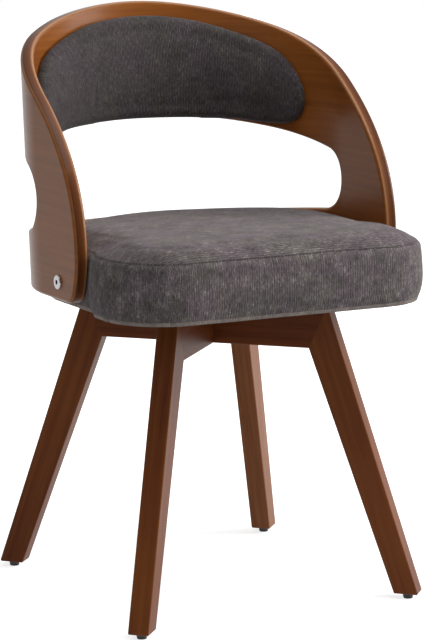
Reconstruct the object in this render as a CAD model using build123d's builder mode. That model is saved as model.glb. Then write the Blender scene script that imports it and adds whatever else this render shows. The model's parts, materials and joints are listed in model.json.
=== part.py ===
from build123d import *
import math
import os

os.makedirs("parts", exist_ok=True)

# Swivel dining chair: a bent plywood shell with an upholstered back pad and seat,
# turning on a flat ball-bearing swivel over a crossed, four-legged wooden base.
# Millimetres. +Z is up, the chair faces -Y, and the feet stand on Z = 0.

# ------------------------------------------------------------------ driving sizes
swivel_y = 7.0  # swivel axis, measured back from the middle of the chair's outline

# Base: legs and rails
leg_width = 28.0  # across the leg, and the thickness of the rails
foot_reach = 301.0  # swivel axis to the outer edge of a foot
foot_depth = 33.5  # a leg's depth at the floor
shoulder_reach = 191.5  # swivel axis to a leg's outer face, level with the rail's underside
shoulder_depth = 45.0  # a leg's depth there
rail_underside = 337.5
rail_height = 58.0
wood_edge_radius = 2.0
glide_height = 7.5
glide_top_diameter = 15.5
glide_floor_diameter = 12.5
glide_nail_diameter = 3.0
glide_nail_length = 18.0  # into the foot
glide_nail_head_diameter = 7.0
glide_nail_head_thickness = 1.2
dowel_diameter = 8.0
dowel_length = 36.0
dowel_spacing = 13.0
dowel_seat = 0.6  # how far down the mitre the dowels sit, as a share of its length

# Swivel
swivel_size = 152.0  # side of the square plates
swivel_height = 13.0  # over both plates
swivel_plate = 2.0  # sheet thickness
swivel_corner_radius = 8.0
swivel_screw_inset = 12.0  # hole centre to the plate's edge
race_radius = 50.0
race_width = 20.0
race_rise = 2.2  # how far the pressed track stands off its plate
ball_diameter = 6.0
ball_count = 24
cage_thickness = 2.4
cage_width = 12.0
rivet_radius = 12.0
rivet_wall = 2.5
rivet_flange = 4.0  # width of its flanges
rivet_flange_thickness = 1.4
rivet_flare = 1.0  # how far its lower end is flared into the plate

# Seat
board_thickness = 15.0
seat_front = 240.0  # swivel axis to the front of the cushion
seat_side_height = 78.5  # from the underside of the seat to the top seam
seat_crown = 17.5  # crown of the cushion above that seam
seat_crown_forward = 19.0  # how far the crown lies in front of the middle
seat_corner_radius = 90.0
seat_bulge = 11.5  # how far the cushion swells out in front of the arms
seat_bulge_run = 20.0  # length over which it does
seat_draw_in = 7.0  # how far the cover is pulled in along its lower edge
seat_seam_in = 4.5  # and along its top seam
cover_wrap = 12.0  # foam and cover outside the edge of the board
frame_height = 44.0
frame_width = 22.0
frame_cover = 13.0  # foam and cover outside the frame
dust_cover_thickness = 0.8
dust_cover_inset = 16.0
staple_count = 24
staple_crown = 10.0
staple_wire = 0.8
staple_leg = 6.0  # into the board

# Shell
shell_bottom = 419.0
shell_height = 364.5  # bottom edge to the top of the rim at the middle of the back
shell_half_width = 241.2
shell_ply = 18.0
shell_rear_radius = 283.5
shell_corner_radius = 158.0
shell_side_end = 8.5  # where the straight sides turn into the corners, behind the swivel axis
shell_recline = 5.0  # degrees
shell_edge_radius = 4.5
arm_front = 98.0  # swivel axis to the foremost point of the arms
arm_front_height = 60.0  # that point above the shell's bottom edge
arm_foot_setback = 16.0  # how far the arm's lower front edge falls back
arm_foot_radius = 22.0
arm_rise = 192.0  # length of the steep start of the rim's curve
rim_run = 70.0  # length of the shallow end of the rim's curve
rim_angle = 28.5  # slope of the rim at the back, degrees

# Window
window_front = 26.2  # foremost point of the window, behind the swivel axis
window_height = 87.0  # at its rounded ends
window_middle = 121.7  # middle of those ends above the shell's bottom edge
window_rise = 14.8  # slope of its upper edge, degrees
window_fall = 4.9  # slope of its lower edge, degrees

# Back pad
pad_half_length = 265.0  # along the shell, from the middle of the back
pad_thickness = 25.0
pad_end_thickness = 11.0
pad_top_gap = 19.1  # rim to the pad's upper edge at the middle of the back
pad_height = 141.8  # at the middle of the back
pad_top_drop = 73.0  # fall of the pad's upper edge from the middle to the ends
pad_foot_drop = 14.5  # the same for its lower edge
pad_turn = 48.0  # length of the rounded ends
pad_board_ply = 4.0
pad_board_inset = 12.0
clip_diameter = 8.0
clip_flange_diameter = 15.0
clip_flange_thickness = 1.4
clip_depth = 9.0  # into the shell
clip_pitch = 78.0

# Fasteners
bolt_diameter = 8.0
bolt_length = 50.0
bolt_head_diameter = 19.0
bolt_head_thickness = 2.8
bolt_socket = 6.0  # across the flats
bolt_socket_depth = 5.0
bolt_height = 24.5  # above the shell's bottom edge
bolt_side_front = 43.5  # side bolts, in front of the swivel axis
bolt_rear_arc = 110.0  # rear bolts, round the shell from the middle of the back
insert_diameter = 12.0
insert_length = 15.0
insert_sink = 1.0  # end of the insert below the frame's face
screw_diameter = 4.2
screw_head_diameter = 8.6
screw_head_height = 2.6
base_screw_length = 25.0
seat_screw_length = 14.0

# Clearances
slip = 0.05  # a shaft, screw or dowel in its hole, all round
snug = 0.2  # a soft or bent piece beside what holds it
running_gap = 0.3  # between pieces that turn against each other
seat_clearance = 0.4  # cushion to the inside of the shell
cut_clearance = 2.0  # round a piece that only has to pass

# ------------------------------------------------------------------ worked out
rail_top = rail_underside + rail_height
seat_underside = rail_top + swivel_height
board_top = seat_underside + board_thickness
seat_seam = seat_underside + seat_side_height
recline = math.radians(shell_recline)
side_x = shell_half_width - shell_corner_radius
turn = math.acos(side_x / (shell_rear_radius - shell_corner_radius))
rear_arc = shell_rear_radius * (math.pi / 2 - turn)
corner_arc = shell_corner_radius * turn
rear_centre = -(shell_rear_radius - shell_corner_radius) * math.sin(turn)
rim_height = shell_bottom + shell_height
arm_y = swivel_y - arm_front
arm_z = shell_bottom + arm_front_height
bottom_up = (Align.CENTER, Align.CENTER, Align.MIN)
top_down = (Align.CENTER, Align.CENTER, Align.MAX)


def finish(piece, name):
    """Label a sub-part and write it out."""
    piece.part.label = name
    export_step(piece.part, f"parts/{name}.step")


def lean(height):
    """How far back the shell stands at a height, against its bottom edge."""
    return (height - shell_bottom) * math.tan(recline)


# ------------------------------------------------------------------ base: legs and rails
leg_taper = (foot_reach - shoulder_reach) / (rail_underside - glide_height)
mitre_top = (shoulder_reach - leg_taper * rail_height, rail_top)
mitre_foot = (shoulder_reach - shoulder_depth, rail_underside)
mitre_angle = math.atan2(mitre_top[1] - mitre_foot[1], mitre_top[0] - mitre_foot[0])
foot_middle = foot_reach - foot_depth / 2
leg_headings = {"front_left": 225, "front_right": 315, "rear_right": 45, "rear_left": 135}


def radial_plane(heading):
    """Upright plane through the swivel axis: X runs outwards, Y runs up."""
    angle = math.radians(heading)
    return Plane(
        origin=(0, swivel_y, 0),
        x_dir=(math.cos(angle), math.sin(angle), 0),
        z_dir=(math.sin(angle), -math.cos(angle), 0),
    )


def dowel_spots(heading):
    """Planes on a mitre, square to it, where its two dowels stand."""
    upright = radial_plane(heading)
    x = mitre_top[0] + (mitre_foot[0] - mitre_top[0]) * dowel_seat
    z = mitre_top[1] + (mitre_foot[1] - mitre_top[1]) * dowel_seat
    out = (math.sin(mitre_angle), -math.cos(mitre_angle))
    spots = []
    for across in (-dowel_spacing / 2, dowel_spacing / 2):
        start = upright.from_local_coords(Vector(x, z, across))
        end = upright.from_local_coords(Vector(x + out[0], z + out[1], across))
        spots.append(Plane(origin=start, x_dir=upright.z_dir, z_dir=end - start))
    return spots


def foot_spot(heading):
    """Level plane on the underside of a foot."""
    spot = radial_plane(heading).from_local_coords(Vector(foot_middle, glide_height, 0))
    return Plane(origin=spot)


all_dowel_spots = [spot for heading in leg_headings.values() for spot in dowel_spots(heading)]
all_foot_spots = [foot_spot(heading) for heading in leg_headings.values()]

for corner, heading in leg_headings.items():
    with BuildPart() as leg:
        with BuildSketch(radial_plane(heading)):
            Polygon(
                (foot_reach, glide_height),
                mitre_top,
                mitre_foot,
                (foot_reach - foot_depth, glide_height),
                align=None,
            )
        extrude(amount=leg_width / 2, both=True)
        level = leg.edges().filter_by(lambda edge: abs(edge.center().Z - glide_height) < slip)
        sides = leg.edges().filter_by(lambda edge: edge.length > rail_underside - glide_height)
        fillet(level + sides, wood_edge_radius)
        for spot in dowel_spots(heading):
            with Locations(spot.location):
                Cylinder(dowel_diameter / 2 + slip, dowel_length / 2 + slip, align=bottom_up, mode=Mode.SUBTRACT)
        with Locations(foot_spot(heading).location):
            Cylinder(
                glide_nail_diameter / 2 + slip,
                glide_nail_length + slip,
                align=bottom_up,
                mode=Mode.SUBTRACT,
            )
    finish(leg, f"leg_{corner}")

swivel_hole = swivel_size / 2 - swivel_screw_inset
screw_spots = [
    Plane(origin=(x, swivel_y + y, rail_top))
    for x in (-swivel_hole, swivel_hole)
    for y in (-swivel_hole, swivel_hole)
]
base_screw_depth = base_screw_length - swivel_plate

rails = {"cross_rail_upper": (45, rail_underside), "cross_rail_lower": (135, rail_underside + rail_height / 2)}
for name, (heading, lap_floor) in rails.items():
    with BuildPart() as rail:
        with BuildSketch(radial_plane(heading)):
            Polygon(
                mitre_top,
                (-mitre_top[0], mitre_top[1]),
                (-mitre_foot[0], mitre_foot[1]),
                mitre_foot,
                align=None,
            )
        extrude(amount=leg_width / 2, both=True)
        fillet(rail.edges().filter_by(lambda edge: edge.length > 2 * mitre_foot[0] - slip), wood_edge_radius)
        with BuildSketch(Plane(origin=(0, swivel_y, lap_floor))):
            Rectangle(leg_width, 2 * leg_width, rotation=heading)
        extrude(amount=rail_height / 2, mode=Mode.SUBTRACT)
        for spot in dowel_spots(heading) + dowel_spots(heading + 180):
            with Locations(spot.location):
                Cylinder(dowel_diameter / 2 + slip, dowel_length / 2 + slip, align=top_down, mode=Mode.SUBTRACT)
        for spot in screw_spots:
            with Locations(spot.location):
                Cylinder(screw_diameter / 2 + slip, base_screw_depth + slip, align=top_down, mode=Mode.SUBTRACT)
    finish(rail, name)

with BuildPart() as mitre_dowels:
    for spot in all_dowel_spots:
        with Locations(spot.location):
            Cylinder(dowel_diameter / 2, dowel_length)
finish(mitre_dowels, "mitre_dowels")

nail_level = -glide_height / 2
with BuildPart() as glides:
    for spot in all_foot_spots:
        with Locations(spot.offset(-glide_height).location):
            Cone(glide_floor_diameter / 2, glide_top_diameter / 2, glide_height, align=bottom_up)
        with Locations(spot.offset(nail_level).location):
            Cylinder(glide_nail_diameter / 2 + slip, glide_height, align=bottom_up, mode=Mode.SUBTRACT)
            Cylinder(
                glide_nail_head_diameter / 2 + slip,
                glide_nail_head_thickness + slip,
                align=bottom_up,
                mode=Mode.SUBTRACT,
            )
finish(glides, "glides")

with BuildPart() as glide_nails:
    for spot in all_foot_spots:
        with Locations(spot.offset(nail_level).location):
            Cylinder(glide_nail_diameter / 2, glide_nail_length - nail_level, align=bottom_up)
            Cylinder(glide_nail_head_diameter / 2, glide_nail_head_thickness, align=bottom_up)
finish(glide_nails, "glide_nails")

# ------------------------------------------------------------------ swivel
upper_plate_foot = seat_underside - swivel_plate
ball_level = rail_top + swivel_height / 2
groove_radius = ball_diameter / 2 + running_gap
axis_plane = Plane(origin=(0, swivel_y, 0), x_dir=(1, 0, 0), z_dir=(0, -1, 0))
swivel_axis = Axis((0, swivel_y, 0), (0, 0, 1))


with BuildPart() as swivel_base_plate:
    with BuildSketch(Plane(origin=(0, swivel_y, rail_top))):
        RectangleRounded(swivel_size, swivel_size, swivel_corner_radius)
    extrude(amount=swivel_plate)
    with BuildSketch(Plane(origin=(0, swivel_y, rail_top + swivel_plate))):
        Circle(race_radius + race_width / 2)
        Circle(race_radius - race_width / 2, mode=Mode.SUBTRACT)
    extrude(amount=race_rise)
    with BuildSketch(axis_plane):
        with Locations((race_radius, ball_level)):
            Circle(groove_radius)
    revolve(axis=swivel_axis, mode=Mode.SUBTRACT)
    with BuildSketch(Plane(origin=(0, swivel_y, rail_top))):
        Circle(rivet_radius + slip)
        with GridLocations(2 * swivel_hole, 2 * swivel_hole, 2, 2):
            Circle(screw_diameter / 2 + slip)
    extrude(amount=swivel_plate, mode=Mode.SUBTRACT)
    with Locations((0, swivel_y, rail_top)):
        Cone(
            rivet_radius + rivet_flare + slip,
            rivet_radius + slip,
            rivet_flare,
            align=bottom_up,
            mode=Mode.SUBTRACT,
        )
finish(swivel_base_plate, "swivel_base_plate")

with BuildPart() as swivel_seat_plate:
    mirror(swivel_base_plate.part, about=Plane.XY.offset(ball_level))
finish(swivel_seat_plate, "swivel_seat_plate")

with BuildPart() as swivel_balls:
    with Locations(Plane(origin=(0, swivel_y, ball_level)).location):
        with PolarLocations(race_radius, ball_count):
            Sphere(ball_diameter / 2)
finish(swivel_balls, "swivel_balls")

with BuildPart() as ball_cage:
    with BuildSketch(Plane(origin=(0, swivel_y, ball_level - cage_thickness / 2))):
        Circle(race_radius + cage_width / 2)
        Circle(race_radius - cage_width / 2, mode=Mode.SUBTRACT)
        with PolarLocations(race_radius, ball_count):
            Circle(ball_diameter / 2 + slip, mode=Mode.SUBTRACT)
    extrude(amount=cage_thickness)
finish(ball_cage, "ball_cage")

rivet_top = seat_underside + running_gap + rivet_flange_thickness
with BuildPart() as swivel_rivet:
    with BuildSketch(Plane(origin=(0, swivel_y, rail_top))):
        Circle(rivet_radius)
    extrude(amount=rivet_top - rail_top)
    for flange_foot in (rail_top + swivel_plate, seat_underside + running_gap):
        with BuildSketch(Plane(origin=(0, swivel_y, flange_foot))):
            Circle(rivet_radius + rivet_flange)
        extrude(amount=rivet_flange_thickness)
    with Locations((0, swivel_y, rail_top)):
        Cone(rivet_radius + rivet_flare, rivet_radius, rivet_flare, align=bottom_up)
    with BuildSketch(Plane(origin=(0, swivel_y, rail_top))):
        Circle(rivet_radius - rivet_wall)
    extrude(amount=rivet_top - rail_top, mode=Mode.SUBTRACT)
finish(swivel_rivet, "swivel_rivet")


def pan_screw(length):
    """A pan-head screw on its own plane: the head stands below Z = 0, the shank runs up."""
    with BuildPart(mode=Mode.PRIVATE) as screw:
        Cylinder(screw_head_diameter / 2, screw_head_height, align=top_down)
        fillet(screw.edges().sort_by(Axis.Z)[0], screw_head_height / 3)
        Cylinder(screw_diameter / 2, length, align=bottom_up)
        with BuildSketch(Plane.XY.offset(-screw_head_height)):
            Rectangle(screw_head_diameter / 2, screw_head_height / 3)
            Rectangle(screw_head_height / 3, screw_head_diameter / 2)
        extrude(amount=screw_head_height / 2, mode=Mode.SUBTRACT)
    return screw.part


base_screw = pan_screw(base_screw_length)
with BuildPart() as swivel_base_screws:
    for spot in screw_spots:
        head_seat = Plane(origin=spot.origin + Vector(0, 0, swivel_plate), x_dir=(1, 0, 0), z_dir=(0, 0, -1))
        with Locations(head_seat.location):
            add(base_screw)
finish(swivel_base_screws, "swivel_base_screws")

seat_screw = pan_screw(seat_screw_length)
with BuildPart() as swivel_seat_screws:
    for spot in screw_spots:
        with Locations(Plane(origin=(spot.origin.X, spot.origin.Y, upper_plate_foot)).location):
            add(seat_screw)
finish(swivel_seat_screws, "swivel_seat_screws")

# ------------------------------------------------------------------ shell geometry
shell_plane = Plane(
    origin=(0, swivel_y + shell_side_end, shell_bottom),
    x_dir=(1, 0, 0),
    z_dir=(0, math.sin(recline), math.cos(recline)),
)


def bent_outline(inset):
    """Plan of the bent plywood about the middle of its corner arcs, closed well in front."""
    half = shell_half_width - inset
    corner = shell_corner_radius - inset
    front = arm_front + shell_height
    meet = (side_x + corner * math.cos(turn), corner * math.sin(turn))
    middle = (side_x + corner * math.cos(turn / 2), corner * math.sin(turn / 2))
    with BuildSketch() as plan:
        with BuildLine():
            Line((half, -front), (half, 0))
            ThreePointArc((half, 0), middle, meet)
            ThreePointArc(meet, (0, rear_centre + shell_rear_radius - inset), (-meet[0], meet[1]))
            ThreePointArc((-meet[0], meet[1]), (-middle[0], middle[1]), (-half, 0))
            Line((-half, 0), (-half, -front))
            Line((-half, -front), (half, -front))
        make_face()
    return plan.sketch


def on_bend(face, inset):
    """Whether a face is one of the plywood's two broad faces."""
    if face.geom_type == GeomType.PLANE:
        return abs(abs(face.center().X) - (shell_half_width - inset)) < slip
    if face.geom_type != GeomType.CYLINDER:
        return False
    upright = abs(face.axis_of_rotation.direction.dot(shell_plane.z_dir)) > 0.99
    radii = (shell_corner_radius - inset, shell_rear_radius - inset)
    return upright and min(abs(face.radius - radius) for radius in radii) < slip


def along_shell(edge):
    """Whether an edge runs straight up the bend, where two of its faces meet smoothly."""
    return edge.geom_type == GeomType.LINE and abs((edge % 0.5).dot(shell_plane.z_dir)) > 0.999


def bent_ply(inset, thickness, side_view):
    """Plywood of one thickness, bent to the shell's curve and cut square to its faces."""
    with BuildPart() as blank:
        with BuildSketch(shell_plane.offset(-shell_height / 2)):
            add(bent_outline(inset))
        extrude(amount=2 * shell_height)
        with BuildSketch(Plane.YZ):
            add(side_view)
        extrude(amount=2 * shell_half_width, both=True, mode=Mode.INTERSECT)
    broad = [face for face in blank.faces() if on_bend(face, inset)]
    return [Solid.thicken(face, -thickness) for face in broad]


def shell_spot(arc, height, depth=0.0):
    """Plane on the shell, facing out: arc runs round it from the middle of the back."""
    side = math.copysign(1, arc)
    run = abs(arc)
    if run <= rear_arc:
        heading = math.pi / 2 - run / shell_rear_radius
        centre = (0, rear_centre)
        reach = shell_rear_radius - depth
    else:
        heading = max(turn - (run - rear_arc) / shell_corner_radius, 0)
        centre = (side_x, 0)
        reach = shell_corner_radius - depth
    out = Vector(side * math.cos(heading), math.sin(heading), 0)
    x = side * centre[0] + reach * out.X
    y = centre[1] + reach * out.Y - max(run - rear_arc - corner_arc, 0)
    up = (height - shell_bottom + y * math.sin(recline)) / math.cos(recline)
    spot = shell_plane.from_local_coords(Vector(x, y, up))
    ahead = shell_plane.from_local_coords(Vector(x, y, up) + out)
    return Plane(origin=spot, x_dir=shell_plane.z_dir, z_dir=ahead - spot)


def drill(planes, radius, depth):
    """Drill round holes into the part, from each plane and against the way it faces."""
    for plane in planes:
        with Locations(plane.location):
            Cylinder(radius, depth, align=top_down, mode=Mode.SUBTRACT)


# ------------------------------------------------------------------ back pad geometry
pad_top = rim_height - pad_top_gap
pad_board_depth = shell_ply + snug


def pad_edges(arc, inset=0.0):
    """Heights of the pad's upper and lower edges at a distance round the shell."""
    share = (arc / pad_half_length) ** 2
    upper = pad_top - pad_top_drop * share - inset
    lower = pad_top - pad_height - pad_foot_drop * share + inset
    into_turn = max(abs(arc) + pad_turn - pad_half_length, 0) / pad_turn
    middle = (upper + lower) / 2
    half = (upper - lower) / 2 * math.sqrt(1 - min(into_turn, 1) ** 2)
    return middle + half, middle - half


# ------------------------------------------------------------------ backrest shell
slope = math.radians(rim_angle)
rise = math.radians(window_rise)
fall = math.radians(window_fall)
beyond = 4 * shell_ply  # how far the side view's outlines run on past the back
rim_rear = swivel_y + shell_side_end + rear_centre + shell_rear_radius + lean(rim_height)
far_back = rim_rear + beyond
half_window = window_height / 2
window_y = swivel_y + window_front + half_window
window_z = shell_bottom + window_middle

with BuildSketch() as shell_side_view:
    with BuildLine():
        rim = Bezier(
            (arm_y, arm_z),
            (arm_y, arm_z + arm_rise),
            (rim_rear - rim_run * math.cos(slope), rim_height - rim_run * math.sin(slope)),
            (rim_rear, rim_height),
        )
        Line(rim @ 1, (far_back, rim_height + beyond * math.tan(slope)))
        Line((far_back, rim_height + beyond * math.tan(slope)), (far_back, shell_bottom))
        Line((far_back, shell_bottom), (arm_y + arm_foot_setback, shell_bottom))
        TangentArc((arm_y, arm_z), (arm_y + arm_foot_setback, shell_bottom), tangent=(0, -1))
    make_face()
    arm_foot = shell_side_view.vertices().sort_by_distance((arm_y + arm_foot_setback, shell_bottom))[0]
    fillet(arm_foot, arm_foot_radius)
    with BuildSketch(mode=Mode.SUBTRACT):
        upper = (window_y - half_window * math.sin(rise), window_z + half_window * math.cos(rise))
        lower = (window_y - half_window * math.sin(fall), window_z - half_window * math.cos(fall))
        upper_back = (far_back, upper[1] + (far_back - upper[0]) * math.tan(rise))
        lower_back = (far_back, lower[1] - (far_back - lower[0]) * math.tan(fall))
        with BuildLine():
            ThreePointArc(upper, (window_y - half_window, window_z), lower)
            Line(lower, lower_back)
            Line(lower_back, upper_back)
            Line(upper_back, upper)
        make_face()

bolt_z = shell_bottom + bolt_height
side_bolt_arc = rear_arc + corner_arc + shell_side_end + bolt_side_front + lean(bolt_z)
bolt_arcs = (-side_bolt_arc, -bolt_rear_arc, bolt_rear_arc, side_bolt_arc)
bolt_spots = [shell_spot(arc, bolt_z) for arc in bolt_arcs]
insert_depth = shell_ply + seat_clearance + frame_cover + lean(bolt_z) - lean(seat_underside) + insert_sink
insert_spots = [spot.offset(-insert_depth) for spot in bolt_spots]
clip_arcs = [clip_pitch * count for count in (-2, -1, 0, 1, 2)]
clip_levels = [sum(pad_edges(arc)) / 2 for arc in clip_arcs]
clip_spots = [shell_spot(arc, level) for arc, level in zip(clip_arcs, clip_levels)]
clip_reach = pad_board_depth + pad_board_ply

with BuildPart() as backrest_shell:
    add(bent_ply(0, shell_ply, shell_side_view.sketch))
    broad_faces = [face for face in backrest_shell.faces() if on_bend(face, 0) or on_bend(face, shell_ply)]
    rim_edges = [edge for face in broad_faces for edge in face.edges() if not along_shell(edge)]
    fillet(rim_edges, shell_edge_radius)
    drill(bolt_spots, bolt_diameter / 2 + slip, 2 * shell_ply)
    for spot in clip_spots:
        with Locations(spot.offset(-clip_reach).location):
            Cylinder(
                clip_diameter / 2 + slip,
                clip_reach - shell_ply + clip_depth + slip,
                align=bottom_up,
                mode=Mode.SUBTRACT,
            )
finish(backrest_shell, "backrest_shell")

with BuildPart() as shell_bolts:
    for spot in bolt_spots:
        with Locations(spot.location):
            Cylinder(bolt_head_diameter / 2, bolt_head_thickness, align=bottom_up)
            Cylinder(bolt_diameter / 2, bolt_length, align=top_down)
    rims = shell_bolts.edges().filter_by(
        lambda edge: edge.geom_type == GeomType.CIRCLE and edge.radius > bolt_head_diameter / 2 - slip
    )
    outer_rims = [
        edge
        for edge in rims
        if min(abs(spot.to_local_coords(edge.arc_center).Z - bolt_head_thickness) for spot in bolt_spots) < slip
    ]
    fillet(outer_rims, bolt_head_thickness / 2)
    for spot in bolt_spots:
        with BuildSketch(spot.offset(bolt_head_thickness)):
            RegularPolygon(bolt_socket / 2, 6, major_radius=False)
        extrude(amount=-bolt_socket_depth, mode=Mode.SUBTRACT)
finish(shell_bolts, "shell_bolts")

with BuildPart() as bolt_inserts:
    for spot in insert_spots:
        with Locations(spot.location):
            Cylinder(insert_diameter / 2, insert_length, align=top_down)
            Cylinder(bolt_diameter / 2 + slip, insert_length, align=top_down, mode=Mode.SUBTRACT)
finish(bolt_inserts, "bolt_inserts")

# ------------------------------------------------------------------ back pad
def pad_side_view(inset):
    """Side view of the pad's board, up to where the ends of the pad turn."""
    upper = []
    lower = []
    for count in range(5):
        arc = (pad_half_length - pad_turn) * count / 4
        heights = pad_edges(arc, inset)
        upper.append(shell_spot(arc, heights[0], pad_board_depth).origin)
        lower.append(shell_spot(arc, heights[1], pad_board_depth).origin)
    with BuildSketch() as view:
        with BuildLine():
            upper_curve = Spline(*[(point.Y, point.Z) for point in upper])
            lower_curve = Spline(*[(point.Y, point.Z) for point in lower])
            Line(upper_curve @ 1, lower_curve @ 1)
            Line(upper_curve @ 0, (far_back, (upper_curve @ 0).Y))
            Line((far_back, (upper_curve @ 0).Y), (far_back, (lower_curve @ 0).Y))
            Line((far_back, (lower_curve @ 0).Y), lower_curve @ 0)
        make_face()
    return view.sketch


with BuildPart() as back_pad_board:
    add(bent_ply(pad_board_depth, pad_board_ply, pad_side_view(pad_board_inset)))
    for spot in clip_spots:
        with Locations(spot.offset(-clip_reach).location):
            Cylinder(
                clip_flange_diameter / 2 + snug,
                clip_flange_thickness + slip,
                align=bottom_up,
                mode=Mode.SUBTRACT,
            )
            Cylinder(clip_diameter / 2 + slip, 2 * pad_board_ply, align=bottom_up, mode=Mode.SUBTRACT)
finish(back_pad_board, "back_pad_board")

with BuildPart() as pad_clips:
    for spot in clip_spots:
        with Locations(spot.offset(-clip_reach).location):
            Cylinder(clip_flange_diameter / 2, clip_flange_thickness, align=bottom_up)
            Cylinder(clip_diameter / 2, clip_reach - shell_ply + clip_depth, align=bottom_up)
finish(pad_clips, "pad_clips")

straight = pad_half_length - pad_turn
pad_arcs = [0, straight / 4, straight / 2, straight * 3 / 4, straight]
pad_arcs += [straight + pad_turn * math.sin(math.radians(angle)) for angle in (24, 45, 64, 80)]
pad_arcs = [-arc for arc in reversed(pad_arcs[1:])] + pad_arcs
pocket = bent_ply(shell_ply, snug + pad_board_ply + snug, pad_side_view(pad_board_inset - snug))
pad_back_depth = pad_board_depth + 2 * snug

with BuildPart() as back_pad:
    for arc in pad_arcs:
        upper, lower = pad_edges(arc)
        spot = shell_spot(arc, lower, pad_back_depth)
        section_plane = Plane(origin=spot.origin, x_dir=spot.x_dir, z_dir=spot.z_dir.cross(spot.x_dir))
        height = (upper - lower) / math.cos(recline)
        share = (arc / pad_half_length) ** 6
        thick = pad_thickness - (pad_thickness - pad_end_thickness) * share
        roll = height / 8
        with BuildSketch(section_plane):
            with BuildLine():
                Line((0, 0), (height, 0))
                ThreePointArc((height, 0), (height, thick / 2), (height - roll, thick * 0.8))
                ThreePointArc((height - roll, thick * 0.8), (height / 2, thick), (roll, thick * 0.8))
                ThreePointArc((roll, thick * 0.8), (0, thick / 2), (0, 0))
            make_face()
    loft()
    for hollow in pocket:
        add(hollow, mode=Mode.SUBTRACT)
finish(back_pad, "back_pad")

# ------------------------------------------------------------------ seat


def seat_outline(inset, height, bulge=seat_bulge):
    """Plan of the seat at a height, pulled in from the cushion's full size."""
    gap = shell_ply + seat_clearance + inset
    half = shell_half_width - gap
    corner = shell_corner_radius - gap
    centre_y = swivel_y + shell_side_end + lean(height)
    meet = (side_x + corner * math.cos(turn), centre_y + corner * math.sin(turn))
    middle = (side_x + corner * math.cos(turn / 2), centre_y + corner * math.sin(turn / 2))
    rear = (0, centre_y + rear_centre + shell_rear_radius - gap)
    wide = half + bulge
    front = swivel_y - seat_front + inset
    front_corner = seat_corner_radius - inset
    corner_mid = front_corner * (1 - math.sqrt(0.5))
    bulge_start = arm_y - seat_clearance
    with BuildSketch() as plan:
        with BuildLine() as right_side:
            ThreePointArc(rear, (meet[0] / 2, arc_height(meet, rear, gap)), meet)
            ThreePointArc(meet, middle, (half, centre_y))
            Line((half, centre_y), (half, bulge_start))
            Line((half, bulge_start), (wide, bulge_start - seat_bulge_run))
            Line((wide, bulge_start - seat_bulge_run), (wide, front + front_corner))
            ThreePointArc(
                (wide, front + front_corner),
                (wide - corner_mid, front + corner_mid),
                (wide - front_corner, front),
            )
            Line((wide - front_corner, front), (0, front))
            mirror(about=Plane.YZ)
        make_face()
    return plan.sketch


def arc_height(meet, rear, gap):
    """Y of the seat's rear arc halfway out to where it meets the corner."""
    radius = shell_rear_radius - gap
    return rear[1] - radius + math.sqrt(radius**2 - (meet[0] / 2) ** 2)


rivet_recess = rivet_radius + rivet_flange + cut_clearance
seat_screw_hole = seat_screw_length - swivel_plate
staple_line = seat_outline(dust_cover_inset + staple_crown / 2, seat_underside).wires()[0]
staple_spots = [
    Plane(origin=staple_line @ share, x_dir=staple_line % share, z_dir=(0, 0, 1))
    for share in [count / staple_count for count in range(staple_count)]
]
staple_leg_spacing = staple_crown - staple_wire

with BuildPart() as seat_board:
    with BuildSketch(Plane.XY.offset(seat_underside)):
        add(seat_outline(cover_wrap, seat_underside))
    extrude(amount=board_thickness)
    with Locations((0, swivel_y, seat_underside)):
        Cylinder(rivet_recess, board_thickness / 3, align=bottom_up, mode=Mode.SUBTRACT)
    for spot in screw_spots:
        with Locations((spot.origin.X, spot.origin.Y, seat_underside)):
            Cylinder(screw_diameter / 2 + slip, seat_screw_hole + slip, align=bottom_up, mode=Mode.SUBTRACT)
    with BuildSketch([spot.offset(seat_underside) for spot in staple_spots]):
        with GridLocations(staple_leg_spacing, 0, 2, 1):
            Rectangle(staple_wire + 2 * slip, staple_wire + 2 * slip)
    extrude(amount=staple_leg + slip, mode=Mode.SUBTRACT)
finish(seat_board, "seat_board")

with BuildPart() as seat_frame:
    with BuildSketch(Plane.XY.offset(board_top)):
        add(seat_outline(frame_cover, seat_underside))
        add(seat_outline(frame_cover + frame_width, seat_underside), mode=Mode.SUBTRACT)
    extrude(amount=frame_height)
    drill(insert_spots, insert_diameter / 2 + slip, insert_length + slip)
    drill(bolt_spots, bolt_diameter / 2 + slip, bolt_length + slip)
    drill([spot.offset(frame_cover) for spot in insert_spots], insert_diameter / 2 + slip, frame_cover)
finish(seat_frame, "seat_frame")

# Sections of the cushion: share of the height, and how far inside its full size
side_sections = (
    (0, seat_draw_in),
    (0.08, 0.6 * seat_draw_in),
    (0.22, 0.17 * seat_draw_in),
    (0.42, 0),
    (0.72, 0.3 * seat_seam_in),
    (1, seat_seam_in),
)
crown_sections = ((0, seat_seam_in), (0.35, 21.5), (0.65, 32.5), (0.86, 46), (0.96, 62), (1, 84))
with BuildPart() as seat_cushion:
    for share, inset in side_sections:
        height = seat_underside + share * seat_side_height
        with BuildSketch(Plane.XY.offset(height)):
            add(seat_outline(inset, height))
    loft()
    for share, inset in crown_sections:
        height = seat_seam + share * seat_crown
        with BuildSketch(Plane(origin=(0, -share * seat_crown_forward, height))):
            add(seat_outline(inset, height))
    loft()
    with BuildSketch(Plane.XY.offset(seat_underside)):
        add(seat_outline(cover_wrap - snug, seat_underside))
    extrude(amount=board_thickness, mode=Mode.SUBTRACT)
    with BuildSketch(Plane.XY.offset(board_top)):
        add(seat_outline(frame_cover - snug, seat_underside))
        add(seat_outline(frame_cover + frame_width + snug, seat_underside), mode=Mode.SUBTRACT)
    extrude(amount=frame_height + snug, mode=Mode.SUBTRACT)
    drill(bolt_spots, bolt_diameter / 2 + snug, bolt_length + snug)
finish(seat_cushion, "seat_cushion")

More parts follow.
